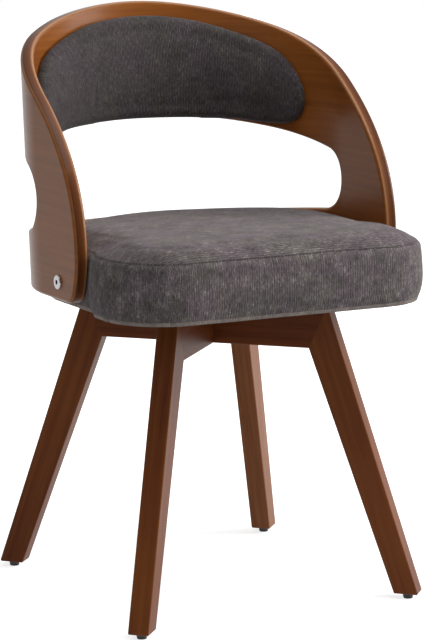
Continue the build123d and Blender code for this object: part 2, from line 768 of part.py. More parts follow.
swivel_opening = swivel_size + 2 * cut_clearance
cover_level = seat_underside - dust_cover_thickness
with BuildPart() as dust_cover:
    with BuildSketch(Plane.XY.offset(cover_level)):
        add(seat_outline(dust_cover_inset, seat_underside))
        with Locations((0, swivel_y)):
            Rectangle(swivel_opening, swivel_opening, mode=Mode.SUBTRACT)
    extrude(amount=dust_cover_thickness)
    with BuildSketch([spot.offset(cover_level) for spot in staple_spots]):
        with GridLocations(staple_leg_spacing, 0, 2, 1):
            Rectangle(staple_wire + 2 * slip, staple_wire + 2 * slip)
    extrude(amount=dust_cover_thickness, mode=Mode.SUBTRACT)
finish(dust_cover, "dust_cover")

with BuildPart() as cover_staples:
    with BuildSketch([spot.offset(cover_level) for spot in staple_spots]):
        Rectangle(staple_crown, staple_wire)
    extrude(amount=-staple_wire)
    with BuildSketch([spot.offset(cover_level) for spot in staple_spots]):
        with GridLocations(staple_leg_spacing, 0, 2, 1):
            Rectangle(staple_wire, staple_wire)
    extrude(amount=dust_cover_thickness + staple_leg)
finish(cover_staples, "cover_staples")
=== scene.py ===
"""Swivel dining chair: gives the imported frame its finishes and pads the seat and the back."""

import json
import math

import bpy
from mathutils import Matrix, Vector, kdtree, noise

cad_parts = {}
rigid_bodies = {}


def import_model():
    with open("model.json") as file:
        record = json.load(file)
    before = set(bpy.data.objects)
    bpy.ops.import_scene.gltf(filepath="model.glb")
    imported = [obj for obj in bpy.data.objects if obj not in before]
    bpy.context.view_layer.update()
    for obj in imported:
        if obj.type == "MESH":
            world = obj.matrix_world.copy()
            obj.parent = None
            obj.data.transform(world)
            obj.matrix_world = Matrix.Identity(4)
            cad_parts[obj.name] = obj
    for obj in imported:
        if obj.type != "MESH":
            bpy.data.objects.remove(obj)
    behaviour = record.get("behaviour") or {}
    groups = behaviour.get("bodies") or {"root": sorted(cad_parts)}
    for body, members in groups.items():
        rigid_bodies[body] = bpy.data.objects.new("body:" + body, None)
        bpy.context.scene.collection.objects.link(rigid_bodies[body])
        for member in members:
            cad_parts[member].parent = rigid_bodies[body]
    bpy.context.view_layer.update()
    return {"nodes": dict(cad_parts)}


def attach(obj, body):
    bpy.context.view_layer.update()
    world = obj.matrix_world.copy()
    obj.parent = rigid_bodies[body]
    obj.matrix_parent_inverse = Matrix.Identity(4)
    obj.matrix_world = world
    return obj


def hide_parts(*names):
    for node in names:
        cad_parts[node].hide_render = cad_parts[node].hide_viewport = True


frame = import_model()
chair = frame["nodes"]

# Sizes of the solids, in metres, and the shell's lean as a slope.
SWIVEL_Y = 0.007
SEAM_Z = 0.487
SEAT_FLOOR_Z = 0.4085
SHELL_FOOT_Y = 0.0155
SHELL_FOOT_Z = 0.419
SHELL_HALF_WIDTH = 0.2412
SHELL_REAR_RADIUS = 0.2835
SHELL_CORNER_RADIUS = 0.158
SHELL_PLY = 0.018
SHELL_LEAN = math.tan(math.radians(5.0))

# The shell's plan is a corner arc on each side, about SHELL_SIDE, and a rear arc about
# SHELL_REAR_CENTRE. They meet where the heading from the rear arc's centre is SHELL_TURN.
SHELL_SIDE = SHELL_HALF_WIDTH - SHELL_CORNER_RADIUS
SHELL_TURN = math.acos(SHELL_SIDE / (SHELL_REAR_RADIUS - SHELL_CORNER_RADIUS))
SHELL_REAR_CENTRE = -(SHELL_REAR_RADIUS - SHELL_CORNER_RADIUS) * math.sin(SHELL_TURN)

# Points closer together than this are one point.
SAME_POINT = 1e-5


# ---------------------------------------------------------------- selecting and shader helpers


def choose(*pieces):
    """Leave only these pieces selected, the last one active."""
    bpy.ops.object.select_all(action="DESELECT")
    for piece in pieces:
        piece.select_set(True)
    bpy.context.view_layer.objects.active = pieces[-1]


def colour(code):
    """An sRGB hex colour as the linear values that Blender works in."""
    channels = [int(code[i : i + 2], 16) / 255 for i in (1, 3, 5)]
    return [c / 12.92 if c <= 0.04045 else ((c + 0.055) / 1.055) ** 2.4 for c in channels] + [1.0]


def put(tree, kind, sockets=None, **settings):
    """Add a shader node with its settings; a socket takes a value, or a link as (node, output)."""
    made = tree.nodes.new(kind)
    for name, value in settings.items():
        setattr(made, name, value)
    for name, value in (sockets or {}).items():
        if isinstance(value, tuple) and isinstance(value[0], bpy.types.Node):
            tree.links.new(value[0].outputs[value[1]], made.inputs[name])
        else:
            made.inputs[name].default_value = value
    return made


def calc(tree, operation, *values):
    """Link to a sum done on values or links."""
    return put(tree, "ShaderNodeMath", dict(enumerate(values)), operation=operation), "Value"


def weighed(tree, *layers):
    """Link to the sum of layers, each a (link, share)."""
    total = 0.0
    for layer, share in layers:
        total = calc(tree, "MULTIPLY_ADD", layer, share, total)
    return total


def remap(tree, value, start, end, low=0.0, high=1.0, curve="LINEAR"):
    """Link to a value that goes from low to high while the given one goes from start to end."""
    sockets = {"Value": value, "From Min": start, "From Max": end, "To Min": low, "To Max": high}
    return put(tree, "ShaderNodeMapRange", sockets, interpolation_type=curve), "Result"


def mapped(tree, place, scale=(1.0, 1.0, 1.0), turn=(0.0, 0.0, 0.0)):
    """Link to a place that is scaled and turned."""
    sockets = {"Vector": place, "Rotation": turn, "Scale": scale}
    return put(tree, "ShaderNodeMapping", sockets), "Vector"


def mottle(tree, place, scale, detail, roughness=0.5, distortion=0.0, output="Fac"):
    """Link to noise with so many waves a metre."""
    sockets = {"Vector": place, "Scale": scale, "Detail": detail}
    sockets.update({"Roughness": roughness, "Distortion": distortion})
    return put(tree, "ShaderNodeTexNoise", sockets), output


def shades(tree, factor, *stops):
    """Link to a colour ramp over (position, hex colour) stops."""
    ramp = put(tree, "ShaderNodeValToRGB", {"Fac": factor})
    while len(ramp.color_ramp.elements) < len(stops):
        ramp.color_ramp.elements.new(0.5)
    for element, (position, code) in zip(ramp.color_ramp.elements, stops):
        element.position = position
        element.color = colour(code)
    return ramp, "Color"


def blend(tree, factor, first, second, way="MIX"):
    """Link to two colours mixed; numbers tell the colour sockets from others of the same name."""
    sockets = {"Factor": factor, 6: first, 7: second}
    return put(tree, "ShaderNodeMix", sockets, data_type="RGBA", blend_type=way), 2


def relief(tree, height, strength, distance):
    """Link to the normal of a surface with this bump."""
    sockets = {"Height": height, "Strength": strength, "Distance": distance}
    return put(tree, "ShaderNodeBump", sockets), "Normal"


def new_material(name):
    """An empty node material, its tree and its output node."""
    material = bpy.data.materials.new(name)
    material.use_nodes = True
    material.node_tree.nodes.clear()
    return material, material.node_tree, material.node_tree.nodes.new("ShaderNodeOutputMaterial")


def principled(tree, out, sockets):
    """Give a material its surface."""
    surface = put(tree, "ShaderNodeBsdfPrincipled", sockets)
    tree.links.new(surface.outputs["BSDF"], out.inputs["Surface"])


def finish_with(name, material):
    """Give a CAD node its finish."""
    chair[name].data.materials.clear()
    chair[name].data.materials.append(material)


# ---------------------------------------------------------------- wood

# A grain is the turn that lays it on X, then the scales of its bands and of its pores. This one
# has no turn and thin level bands, so that it runs round the bent shell.
ROUND_THE_BEND = ((0.0, 0.0, 0.0), (5.0, 5.0, 170.0), (30.0, 30.0, 900.0))

# The shell's front edges lie further out than this.
ARM_FROM_X = 0.185
# The normal's Y where a surface starts to count as a front edge, and where it wholly does.
LOOKS_AHEAD = (-0.72, -0.86)
# The same for the normal's Z and the top and bottom edges.
LOOKS_UP = (0.35, 0.6)

# How far from the middle of the figure the darkest and the lightest tint lie.
FIGURE_SPREAD = 0.14


def along_axis(axis):
    """Grain that runs along a direction."""
    turn = Vector(axis).rotation_difference(Vector((1.0, 0.0, 0.0))).to_euler()
    return tuple(turn), (5.0, 130.0, 130.0), (25.0, 800.0, 800.0)


def shell_edge(tree, place):
    """1 on the cut edges of the bent shell and 0 on its faces, told by where the surface looks."""
    looks = put(tree, "ShaderNodeSeparateXYZ", {"Vector": (place, "Normal")})
    at = put(tree, "ShaderNodeSeparateXYZ", {"Vector": (place, "Object")})
    on_arm = calc(tree, "GREATER_THAN", calc(tree, "ABSOLUTE", (at, "X")), ARM_FROM_X)
    ahead = remap(tree, (looks, "Y"), *LOOKS_AHEAD)
    level = remap(tree, calc(tree, "ABSOLUTE", (looks, "Z")), *LOOKS_UP)
    return calc(tree, "MAXIMUM", calc(tree, "MULTIPLY", ahead, on_arm), level)


def depth_in_shell(tree, place):
    """How deep a point lies in the bent plywood: 0 at its outer face and 1 at its inner face."""
    at = put(tree, "ShaderNodeSeparateXYZ", {"Vector": (place, "Object")})
    across = calc(tree, "ABSOLUTE", (at, "X"))
    upright = calc(tree, "MULTIPLY_ADD", (at, "Z"), -SHELL_LEAN, (at, "Y"))
    back = calc(tree, "SUBTRACT", upright, SHELL_FOOT_Y - SHELL_FOOT_Z * SHELL_LEAN)
    behind = calc(tree, "MAXIMUM", back, 0.0)
    aside = calc(tree, "SUBTRACT", across, SHELL_SIDE)
    from_rear = calc(tree, "SUBTRACT", back, SHELL_REAR_CENTRE)
    corner_arc = (aside, behind, SHELL_CORNER_RADIUS)
    rear_arc = (across, from_rear, SHELL_REAR_RADIUS)
    depths = []
    for x, y, radius in (corner_arc, rear_arc):
        arm = put(tree, "ShaderNodeCombineXYZ", {"X": x, "Y": y})
        reach = put(tree, "ShaderNodeVectorMath", {0: (arm, "Vector")}, operation="LENGTH")
        depths.append(remap(tree, (reach, "Value"), radius, radius - SHELL_PLY))
    at_rear = calc(tree, "GREATER_THAN", calc(tree, "ARCTAN2", from_rear, across), SHELL_TURN)
    beside, rear = depths
    return put(tree, "ShaderNodeMix", {"Factor": at_rear, "A": beside, "B": rear}), "Result"


def lacquered_walnut(
    name, tints, grain, roughness, contrast=1.0, plies_and_highlights=None, coat=0.0, specular=0.14
):
    """Walnut veneer or walnut-stained wood under thin satin lacquer.

    The lacquer gives a soft reflection, the wood bands about 7 mm wide and 200 mm long along the
    grain, and pores drawn 1.2 mm wide, coarser than real ones, so that they show. With a ply ramp
    from the outer face to the inner one, the cut edges of the shell show the plies, and pale
    painted highlights where the edges are rounded.
    """
    turn, band_scale, pore_scale = grain
    material, tree, out = new_material(name)
    place = put(tree, "ShaderNodeTexCoord")
    along = mapped(tree, (place, "Object"), turn=turn)
    bands = mottle(tree, mapped(tree, along, band_scale), 1.0, 3.0, distortion=0.3)
    pores = mottle(tree, mapped(tree, along, pore_scale), 1.0, 2.0)
    clouds = mottle(tree, along, 7.0, 2.0)
    figure = weighed(tree, (bands, 0.5), (pores, 0.2), (clouds, 0.3))
    spread = FIGURE_SPREAD / contrast
    dark, middle, light = tints
    tint = shades(tree, figure, (0.5 - spread, dark), (0.5, middle), (0.5 + spread, light))
    if plies_and_highlights:
        # On the cut edges the ply ramp, pale painted highlights included, takes the place of the
        # grain.
        layers = shades(tree, depth_in_shell(tree, place), *plies_and_highlights)
        tint = blend(tree, shell_edge(tree, place), tint, layers)
    sockets = {
        "Base Color": tint,
        "Roughness": roughness,
        "IOR": 1.5,
        "Specular IOR Level": specular,
        "Coat Weight": coat,
        "Coat Roughness": 0.12,
        "Coat IOR": 1.25,
        "Normal": relief(tree, pores, strength=0.08, distance=0.0004),
    }
    principled(tree, out, sockets)
    return material


SHELL_TINTS = ("#6b3814", "#80491c", "#945824")
# The shell's cut edge from its outer face to its inner one: ply bands, with a pale painted
# highlight near each face, where the edge rounds over.
SHELL_PLIES_AND_HIGHLIGHTS = (
    (0.0, "#55301a"),
    (0.08, "#8f633f"),
    (0.18, "#4a260f"),
    (0.45, "#552d13"),
    (0.7, "#6b3d1b"),
    (0.86, "#a87a58"),
    (1.0, "#6a4026"),
)
LEG_TINTS = ("#5c2d15", "#6d3b1b", "#794420")
# The same stain lighter, as painted light on the rear right leg.
PAINTED_LIGHT_LEG_TINTS = ("#703f22", "#815031", "#8d5b3b")
RAIL_TINTS = ("#532711", "#643318", "#703d1d")
BIRCH_TINTS = ("#a98a5c", "#c2a26f", "#d3b684")

shell_walnut = lacquered_walnut(
    "lacquered walnut veneer",
    SHELL_TINTS,
    ROUND_THE_BEND,
    roughness=0.32,
    contrast=0.5,
    plies_and_highlights=SHELL_PLIES_AND_HIGHLIGHTS,
    coat=0.1,
    specular=0.12,
)
finish_with("backrest_shell", shell_walnut)

# Headings on the floor, in degrees from +X.
LEG_HEADINGS = {
    "leg_front_left": 225,
    "leg_front_right": 315,
    "leg_rear_right": 45,
    "leg_rear_left": 135,
}
RAIL_HEADINGS = {"cross_rail_upper": 45, "cross_rail_lower": 135}
LEG_SLOPE = math.radians(72.0)
STAIN_SPECULAR = 0.09

for leg, heading in LEG_HEADINGS.items():
    out_x = math.cos(math.radians(heading)) * math.cos(LEG_SLOPE)
    out_y = math.sin(math.radians(heading)) * math.cos(LEG_SLOPE)
    grain = along_axis((out_x, out_y, -math.sin(LEG_SLOPE)))
    # The rear right leg takes the lighter copy of the stain, as painted light.
    tints = PAINTED_LIGHT_LEG_TINTS if leg == "leg_rear_right" else LEG_TINTS
    leg_walnut = lacquered_walnut(
        f"walnut stained {leg}", tints, grain, 0.38, contrast=0.8, specular=STAIN_SPECULAR
    )
    finish_with(leg, leg_walnut)
for rail, heading in RAIL_HEADINGS.items():
    grain = along_axis((math.cos(math.radians(heading)), math.sin(math.radians(heading)), 0.0))
    rail_walnut = lacquered_walnut(
        f"walnut stained {rail}", RAIL_TINTS, grain, 0.4, specular=STAIN_SPECULAR
    )
    finish_with(rail, rail_walnut)

birch = lacquered_walnut("plain birch plywood", BIRCH_TINTS, ROUND_THE_BEND, 0.7)
for hidden in ("mitre_dowels", "seat_board", "seat_frame", "back_pad_board"):
    finish_with(hidden, birch)


# ---------------------------------------------------------------- metal, plastic and lining


def plain_finish(name, tint, roughness, metallic=1.0, speckle=0.05):
    """Metal, enamel or plastic, its gloss broken up by faint clouds of 3 mm."""
    material, tree, out = new_material(name)
    place = put(tree, "ShaderNodeTexCoord")
    clouds = mottle(tree, (place, "Object"), 330.0, 3.0)
    worn = remap(tree, clouds, 0.0, 1.0, roughness - speckle, roughness + speckle)
    principled(tree, out, {"Base Color": colour(tint), "Metallic": metallic, "Roughness": worn})
    return material


finish_with("shell_bolts", plain_finish("polished chrome plate", "#a5a2a4", 0.1))
finish_with("bolt_inserts", plain_finish("plain brass", "#b5924c", 0.32))
zinc = plain_finish("zinc plated steel", "#b9b9b4", 0.34)
for fixing in (
    "swivel_base_screws",
    "swivel_seat_screws",
    "swivel_rivet",
    "swivel_balls",
    "glide_nails",
    "cover_staples",
):
    finish_with(fixing, zinc)
black_steel = plain_finish("black stoved enamel on steel", "#141414", 0.42, metallic=0.0)
for plate in ("swivel_base_plate", "swivel_seat_plate"):
    finish_with(plate, black_steel)
black_plastic = plain_finish(
    "black moulded polyethylene", "#0e0d0d", 0.5, metallic=0.0, speckle=0.08
)
finish_with("glides", black_plastic)
for clip in ("ball_cage", "pad_clips"):
    finish_with(clip, plain_finish(f"natural nylon {clip}", "#d8d5c8", 0.45, metallic=0.0))


def spun_lining():
    """Black non-woven dust cover: a felted web of fibres with 2 mm bonding dots."""
    material, tree, out = new_material("black spun-bonded lining")
    place = put(tree, "ShaderNodeTexCoord")
    fibres = mottle(tree, (place, "Object"), 900.0, 4.0)
    dots = put(tree, "ShaderNodeTexVoronoi", {"Vector": (place, "Object"), "Scale": 480.0})
    sockets = {
        "Base Color": shades(tree, fibres, (0.3, "#0c0c0c"), (0.7, "#1f1f20")),
        "Roughness": 0.85,
        "Normal": relief(tree, (dots, "Distance"), strength=0.3, distance=0.0003),
    }
    principled(tree, out, sockets)
    return material


finish_with("dust_cover", spun_lining())


# ---------------------------------------------------------------- fabric

STITCH = 0.005
# How far from the sewn line the painted shade of its tuck starts, and where it is darkest.
TUCK_SHADE = (0.0014, 0.0002)
# The same for the painted highlight, a pale line at the seat's lower edge, and how far up it lies.
TURNED_HIGHLIGHT = (0.0022, 0.0004)
TURNED_UP = 0.003
# Colour of the painted shade in the seam's crease.
SEAM_SHADE_TINT = "#272425"
# Colour of the painted highlight on the seat's lower edge.
TURNED_HIGHLIGHT_TINT = "#a2968d"

SEAT_TINTS = ("#3a3637", "#534e50", "#6a6465", "#9b9593")
# The seat's tints made darker, as painted shade on the back pad.
PAD_SHADED_TINTS = ("#272425", "#3a3637", "#4b4748", "#7c7677")
# Where the tints lie on the sum of ribs, tufts and fuzz, before crush and nap raise it.
PILE_STOPS = (0.24, 0.38, 0.5, 0.66)


def line_at(tree, sewing, height, edges):
    """1 along a level line of the seat and 0 beside it."""
    at = put(tree, "ShaderNodeSeparateXYZ", {"Vector": (sewing, "UV")})
    away = calc(tree, "ABSOLUTE", calc(tree, "SUBTRACT", (at, "Y"), height))
    return at, remap(tree, away, *edges, curve="SMOOTHSTEP")


def seam_shade(tree):
    """How dark the seat's sewn seam is: painted shade in its tucked crease, broken by a stitch beat
    and fainter in places.
    """
    sewing = put(tree, "ShaderNodeUVMap", uv_map="sewing")
    at, tuck_shade = line_at(tree, sewing, SEAM_Z, TUCK_SHADE)
    beat = calc(tree, "SINE", calc(tree, "MULTIPLY", (at, "X"), 2 * math.pi / STITCH))
    stitch = remap(tree, beat, -1.0, 1.0, 0.3, 0.8)
    pull = remap(tree, mottle(tree, (sewing, "UV"), 9.0, 2.0), 0.3, 0.5, 0.6, 1.0)
    return calc(tree, "MULTIPLY", tuck_shade, calc(tree, "MULTIPLY", stitch, pull))


def turned_edge_highlight(tree):
    """How pale the seat's lower edge is: a broken painted highlight where the cloth turns under."""
    sewing = put(tree, "ShaderNodeUVMap", uv_map="sewing")
    _, turned_highlight = line_at(tree, sewing, SEAT_FLOOR_Z + TURNED_UP, TURNED_HIGHLIGHT)
    caught = remap(tree, mottle(tree, (sewing, "UV"), 120.0, 1.0), 0.3, 0.7, 0.3, 0.6)
    return calc(tree, "MULTIPLY", turned_highlight, caught)


def ribbed_chenille(name, tints, crush, nap, sewn=False):
    """Dark warm grey chenille with soft ribs 2.7 mm apart and patches of crushed, paler pile.

    The ribs follow the piece's own map, whose U and V are metres along the cloth, and run along V.
    Tufts are 2 mm by 7 mm, the nap lies in streaks of 9 mm by 22 mm, and the pile turns from a
    purple to an olive grey in patches of 45 mm. Crush and nap are the shares of those two layers.
    """
    material, tree, out = new_material(name)
    place = put(tree, "ShaderNodeTexCoord")
    cloth = put(tree, "ShaderNodeUVMap", uv_map="cloth")
    wander = mottle(tree, (cloth, "UV"), 55.0, 2.0, output="Color")
    shift = put(
        tree, "ShaderNodeVectorMath", {0: wander, 1: (0.0016, 0.0, 0.0)}, operation="MULTIPLY"
    )
    threads_at = put(
        tree, "ShaderNodeVectorMath", {0: (cloth, "UV"), 1: (shift, "Vector")}, operation="ADD"
    )
    wave = put(tree, "ShaderNodeTexWave", {"Vector": (threads_at, "Vector"), "Scale": 118.0})
    ribs = (wave, "Fac")
    tufts = mottle(tree, mapped(tree, (cloth, "UV"), (560.0, 150.0, 1.0)), 1.0, 3.0)
    fuzz = mottle(tree, mapped(tree, (cloth, "UV"), (900.0, 500.0, 1.0)), 1.0, 2.0)
    crushed = mottle(tree, (place, "Object"), 34.0, 6.0, roughness=0.7)
    streaks_at = mapped(tree, (cloth, "UV"), (110.0, 45.0, 1.0))
    streaks = mottle(tree, streaks_at, 1.0, 4.0, roughness=0.7)
    pile = weighed(tree, (ribs, 0.09), (tufts, 0.45), (fuzz, 0.3), (crushed, crush), (streaks, nap))
    raised = (crush + nap) / 2
    tint = shades(tree, pile, *((raised + stop, code) for stop, code in zip(PILE_STOPS, tints)))
    patches = mottle(tree, (place, "Object"), 22.0, 2.0)
    cast = shades(tree, patches, (0.42, "#fff6fa"), (0.58, "#fafaf0"))
    tint = blend(tree, 1.0, tint, cast, way="MULTIPLY")
    if sewn:
        # On the seat, painted shade along the seam.
        tint = blend(tree, seam_shade(tree), tint, colour(SEAM_SHADE_TINT))
        # Painted highlight along the seat's lower edge.
        tint = blend(tree, turned_edge_highlight(tree), tint, colour(TURNED_HIGHLIGHT_TINT))
    height = calc(tree, "MULTIPLY_ADD", ribs, 0.6, tufts)
    sockets = {
        "Base Color": tint,
        "Roughness": 0.92,
        "Specular IOR Level": 0.15,
        "Sheen Weight": 0.3,
        "Sheen Roughness": 0.35,
        "Sheen Tint": colour("#b9b3b4"),
        "Normal": relief(tree, height, strength=0.5, distance=0.0008),
    }
    principled(tree, out, sockets)
    return material


seat_chenille = ribbed_chenille(
    "ribbed grey chenille on the seat", SEAT_TINTS, crush=0.4, nap=0.35, sewn=True
)
# A darker copy of the seat's chenille: painted shade on the back pad.
pad_shaded_chenille = ribbed_chenille(
    "ribbed grey chenille, pile brushed down, on the back", PAD_SHADED_TINTS, crush=0.25, nap=0.1
)


# ---------------------------------------------------------------- padding

CLOTH = {
    "quality": 6,
    "mass": 0.3,
    "tension_stiffness": 18.0,
    "compression_stiffness": 18.0,
    "shear_stiffness": 8.0,
    "bending_stiffness": 1.5,
    "use_pressure": True,
    "uniform_pressure_force": 4.0,
    "vertex_group_mass": "held",
    "pin_stiffness": 1.0,
}
CLOTH_FRAMES = 20
# How far the padding may lie inside its starting form, where its cap isn't lower.
LEAST_RISE = -0.0003


def apply_new(piece, name, kind, **settings):
    """Give a piece a modifier and apply it."""
    change = piece.modifiers.new(name, kind)
    for setting, value in settings.items():
        setattr(change, setting, value)
    choose(piece)
    bpy.ops.object.modifier_apply(modifier=change.name)


def soft_copy(name, voxel, *nodes):
    """A padded piece's starting form: copies of CAD nodes, joined and remeshed into one skin."""
    copies = []
    for node in nodes:
        choose(chair[node])
        bpy.ops.object.duplicate()
        copies.append(bpy.context.view_layer.objects.active)
    choose(*reversed(copies))
    bpy.ops.object.parent_clear(type="CLEAR_KEEP_TRANSFORM")
    bpy.ops.object.join()
    piece = bpy.context.view_layer.objects.active
    for key in [key for key in piece.keys() if key.startswith("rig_")]:
        del piece[key]
    piece.name = name
    piece.data.name = name
    bpy.ops.object.mode_set(mode="EDIT")
    bpy.ops.mesh.select_all(action="SELECT")
    bpy.ops.mesh.remove_doubles(threshold=SAME_POINT)
    bpy.ops.object.mode_set(mode="OBJECT")
    apply_new(piece, "skin", "REMESH", mode="VOXEL", voxel_size=voxel)
    return piece


def swell(piece, hold, shrink, cap):
    """Pad a piece: draw it in, blow it up as cloth, and keep how far it rises within its cap."""
    start = [(vertex.co.copy(), vertex.normal.copy()) for vertex in piece.data.vertices]
    choose(piece)
    bpy.ops.object.mode_set(mode="EDIT")
    bpy.ops.mesh.select_all(action="SELECT")
    bpy.ops.transform.shrink_fatten(value=-shrink)
    bpy.ops.object.mode_set(mode="OBJECT")
    held = piece.vertex_groups.new(name=CLOTH["vertex_group_mass"])
    for vertex, (place, _) in zip(piece.data.vertices, start):
        held.add([vertex.index], hold(place), "REPLACE")
    cloth = piece.modifiers.new("padding", "CLOTH")
    for setting, value in CLOTH.items():
        setattr(cloth.settings, setting, value)
    cloth.settings.effector_weights.gravity = 0.0
    cloth.collision_settings.use_collision = False
    cloth.point_cache.frame_start = 1
    cloth.point_cache.frame_end = CLOTH_FRAMES
    for step in range(1, CLOTH_FRAMES + 1):
        bpy.context.scene.frame_set(step)
    bpy.ops.object.modifier_apply(modifier=cloth.name)
    bpy.context.scene.frame_set(1)
    piece.vertex_groups.clear()
    for vertex, (place, outward) in zip(piece.data.vertices, start):
        rise = (vertex.co - place).dot(outward)
        vertex.co = place + outward * min(max(rise, LEAST_RISE), cap(place))


def smoother(piece, repeat, factor=0.5):
    """Ease the steps out of a piece."""
    apply_new(piece, "ease", "SMOOTH", factor=factor, iterations=repeat)


def finer(piece):
    """Subdivide a piece once."""
    apply_new(piece, "fine", "SUBSURF", levels=1, render_levels=1)


def normals(piece):
    """A copy of each point's outward normal, before any point moves."""
    return [vertex.normal.copy() for vertex in piece.data.vertices]


def unevenness(place, level, upright):
    """Smooth noise at a place, with so many waves a metre on the level and upright."""
    return noise.noise(Vector((place.x * level, place.y * level, place.z * upright)))


def lookup(points):
    """A search tree over points."""
    found = kdtree.KDTree(len(points))
    for index, point in enumerate(points):
        found.insert(point, index)
    found.balance()
    return found


def map_cloth(piece, place):
    """Lay the cloth's own map on a piece: place gives U and V in metres at a face's corner."""
    mesh = piece.data
    for old in list(mesh.uv_layers):
        mesh.uv_layers.remove(old)
    layer = mesh.uv_layers.new(name="cloth")
    for face in mesh.polygons:
        for corner in face.loop_indices:
            point = mesh.vertices[mesh.loops[corner].vertex_index].co
            layer.data[corner].uv = place(point, face)


def upholster(piece, material):
    """Give a padded piece its smooth surface and its fabric."""
    choose(piece)
    bpy.ops.object.shade_smooth()
    piece.data.materials.clear()
    piece.data.materials.append(material)


# ---------------------------------------------------------------- seat

SEAM_STEP = 0.002
# Points up to this far above the seat's floor are held.
SEAT_HELD = 0.004
# The shell runs beside the seat from this Y backwards, up to this far above the seam.
BESIDE_SHELL_Y = -0.09
BESIDE_SHELL_RISE = 0.004
# How far the seat may swell beside the shell and elsewhere, and how much less at its rear.
SEAT_SWELL_BESIDE_SHELL = 0.0002
SEAT_SWELL = 0.0015
REAR_LESS = 0.0022
REAR_FROM_Y = -0.02
REAR_RUN = 0.14
# Gathers at the seat's lower edge, and the unevenness of the whole seat.
GATHER_DEPTH = 0.0014
GATHER_REACH = 0.009
SEAT_UNEVEN = 0.0012
# Further than LINING_EDGE from the seam the underside lies higher, to leave room for the lining.
LINING_EDGE = 0.012
LINING_ROOM = 0.002
UNDERSIDE_LIP = -0.0006
LOOKS_DOWN = -0.7


def seam_loop():
    """Points round the top seam of the seat, in order, with the length up to each."""
    points = [v.co.copy() for v in chair["seat_cushion"].data.vertices]
    rim = [point for point in points if abs(point.z - SEAM_Z) < SAME_POINT]
    rim.sort(key=lambda point: math.atan2(point.x, -(point.y - SWIVEL_Y)))
    loop = [(rim[0], 0.0)]
    for point in rim[1:]:
        step = (point - loop[-1][0]).length
        if step > SAME_POINT:
            loop.append((point, loop[-1][1] + step))
    dense = []
    for (start, at), (end, until) in zip(loop, loop[1:]):
        count = max(1, round((until - at) / SEAM_STEP))
        for share in range(count):
            dense.append((start.lerp(end, share / count), at + (until - at) * share / count))
    return dense


def crease(piece, seam, depth, width):
    """Draw the cloth in along a sewn line."""
    line = lookup([point for point, _ in seam])
    for vertex, normal in zip(piece.data.vertices, normals(piece)):
        gap = line.find(vertex.co)[2]
        if gap < 4 * width:
            vertex.co -= normal * depth * math.exp(-((gap / width) ** 2))


def seat_hold(place):
    """The seat is held at its floor, where it lies on its board."""
    return 1.0 if place.z < SEAT_FLOOR_Z + SEAT_HELD else 0.0


def seat_cap(place):
    """How far the seat may swell: hardly beside the shell, and less towards the rear."""
    if place.y > BESIDE_SHELL_Y and place.z < SEAM_Z + BESIDE_SHELL_RISE:
        return SEAT_SWELL_BESIDE_SHELL
    rearward = min(max((place.y - REAR_FROM_Y) / REAR_RUN, 0.0), 1.0)
    return SEAT_SWELL - REAR_LESS * rearward


seat = soft_copy("seat_padding", 0.005, "seat_cushion", "seat_board", "seat_frame")
smoother(seat, 4)
swell(seat, seat_hold, 0.004, seat_cap)
smoother(seat, 2)
finer(seat)
seam = seam_loop()
resting = [vertex.co.copy() for vertex in seat.data.vertices]
crease(seat, seam, depth=0.0018, width=0.0028)

seam_plan = lookup([(point.x, point.y, 0.0) for point, _ in seam])
sewn_at = []
for vertex, normal, place in zip(seat.data.vertices, normals(seat), resting):
    _, nearest, gap = seam_plan.find((place.x, place.y, 0.0))
    along = seam[nearest][1]
    sewn_at.append((along, place.z))
    low = math.exp(-(((place.z - SEAT_FLOOR_Z) / GATHER_REACH) ** 2))
    gather = noise.noise(Vector((along * 55.0, place.z * 20.0, 3.0)))
    vertex.co += normal * low * gather * GATHER_DEPTH
    vertex.co += normal * unevenness(place, 9.0, 14.0) * SEAT_UNEVEN
    if normal.z < LOOKS_DOWN:
        vertex.co.z = SEAT_FLOOR_Z + (LINING_ROOM if gap > LINING_EDGE else UNDERSIDE_LIP)


def seat_cloth(point, face):
    """The ribs run from side to side on the top panel and upright on the band round it."""
    if face.center.z > SEAM_Z - 0.002 and face.normal.z > 0.2:
        return point.y, point.x
    nearest = seam_plan.find((point.x, point.y, 0.0))[1]
    return seam[nearest][1], point.z


map_cloth(seat, seat_cloth)
sewing = seat.data.uv_layers.new(name="sewing")
for loop in seat.data.loops:
    sewing.data[loop.index].uv = sewn_at[loop.vertex_index]
upholster(seat, seat_chenille)
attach(seat, "seat")
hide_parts("seat_cushion")


# ---------------------------------------------------------------- back pad

# Points less far than this in front of the shell's outer face are held on the pad's board.
PAD_HELD = 0.0215
PAD_SWELL = 0.0012
PAD_UNEVEN = 0.0008


def behind_foot(point):
    """How far a point lies behind the shell's foot, with the shell's lean taken out."""
    return point.y - SHELL_FOOT_Y - (point.z - SHELL_FOOT_Z) * SHELL_LEAN


def round_shell(point):
    """Distance round the shell to a point, from the middle of the back."""
    back = behind_foot(point)
    side = math.copysign(1.0, point.x)
    across = abs(point.x)
    heading = math.atan2(back - SHELL_REAR_CENTRE, across)
    if heading > SHELL_TURN:
        return side * SHELL_REAR_RADIUS * (math.pi / 2 - heading)
    corner = math.atan2(back, max(across - SHELL_SIDE, 1e-6))
    rear_arc = SHELL_REAR_RADIUS * (math.pi / 2 - SHELL_TURN)
    return side * (rear_arc + SHELL_CORNER_RADIUS * (SHELL_TURN - corner))


def in_front(place):
    """How far a point stands in front of the shell's outer face."""
    back = behind_foot(place)
    across = abs(place.x)
    if math.atan2(back - SHELL_REAR_CENTRE, across) > SHELL_TURN:
        return SHELL_REAR_RADIUS - math.hypot(across, back - SHELL_REAR_CENTRE)
    return SHELL_CORNER_RADIUS - math.hypot(across - SHELL_SIDE, back)


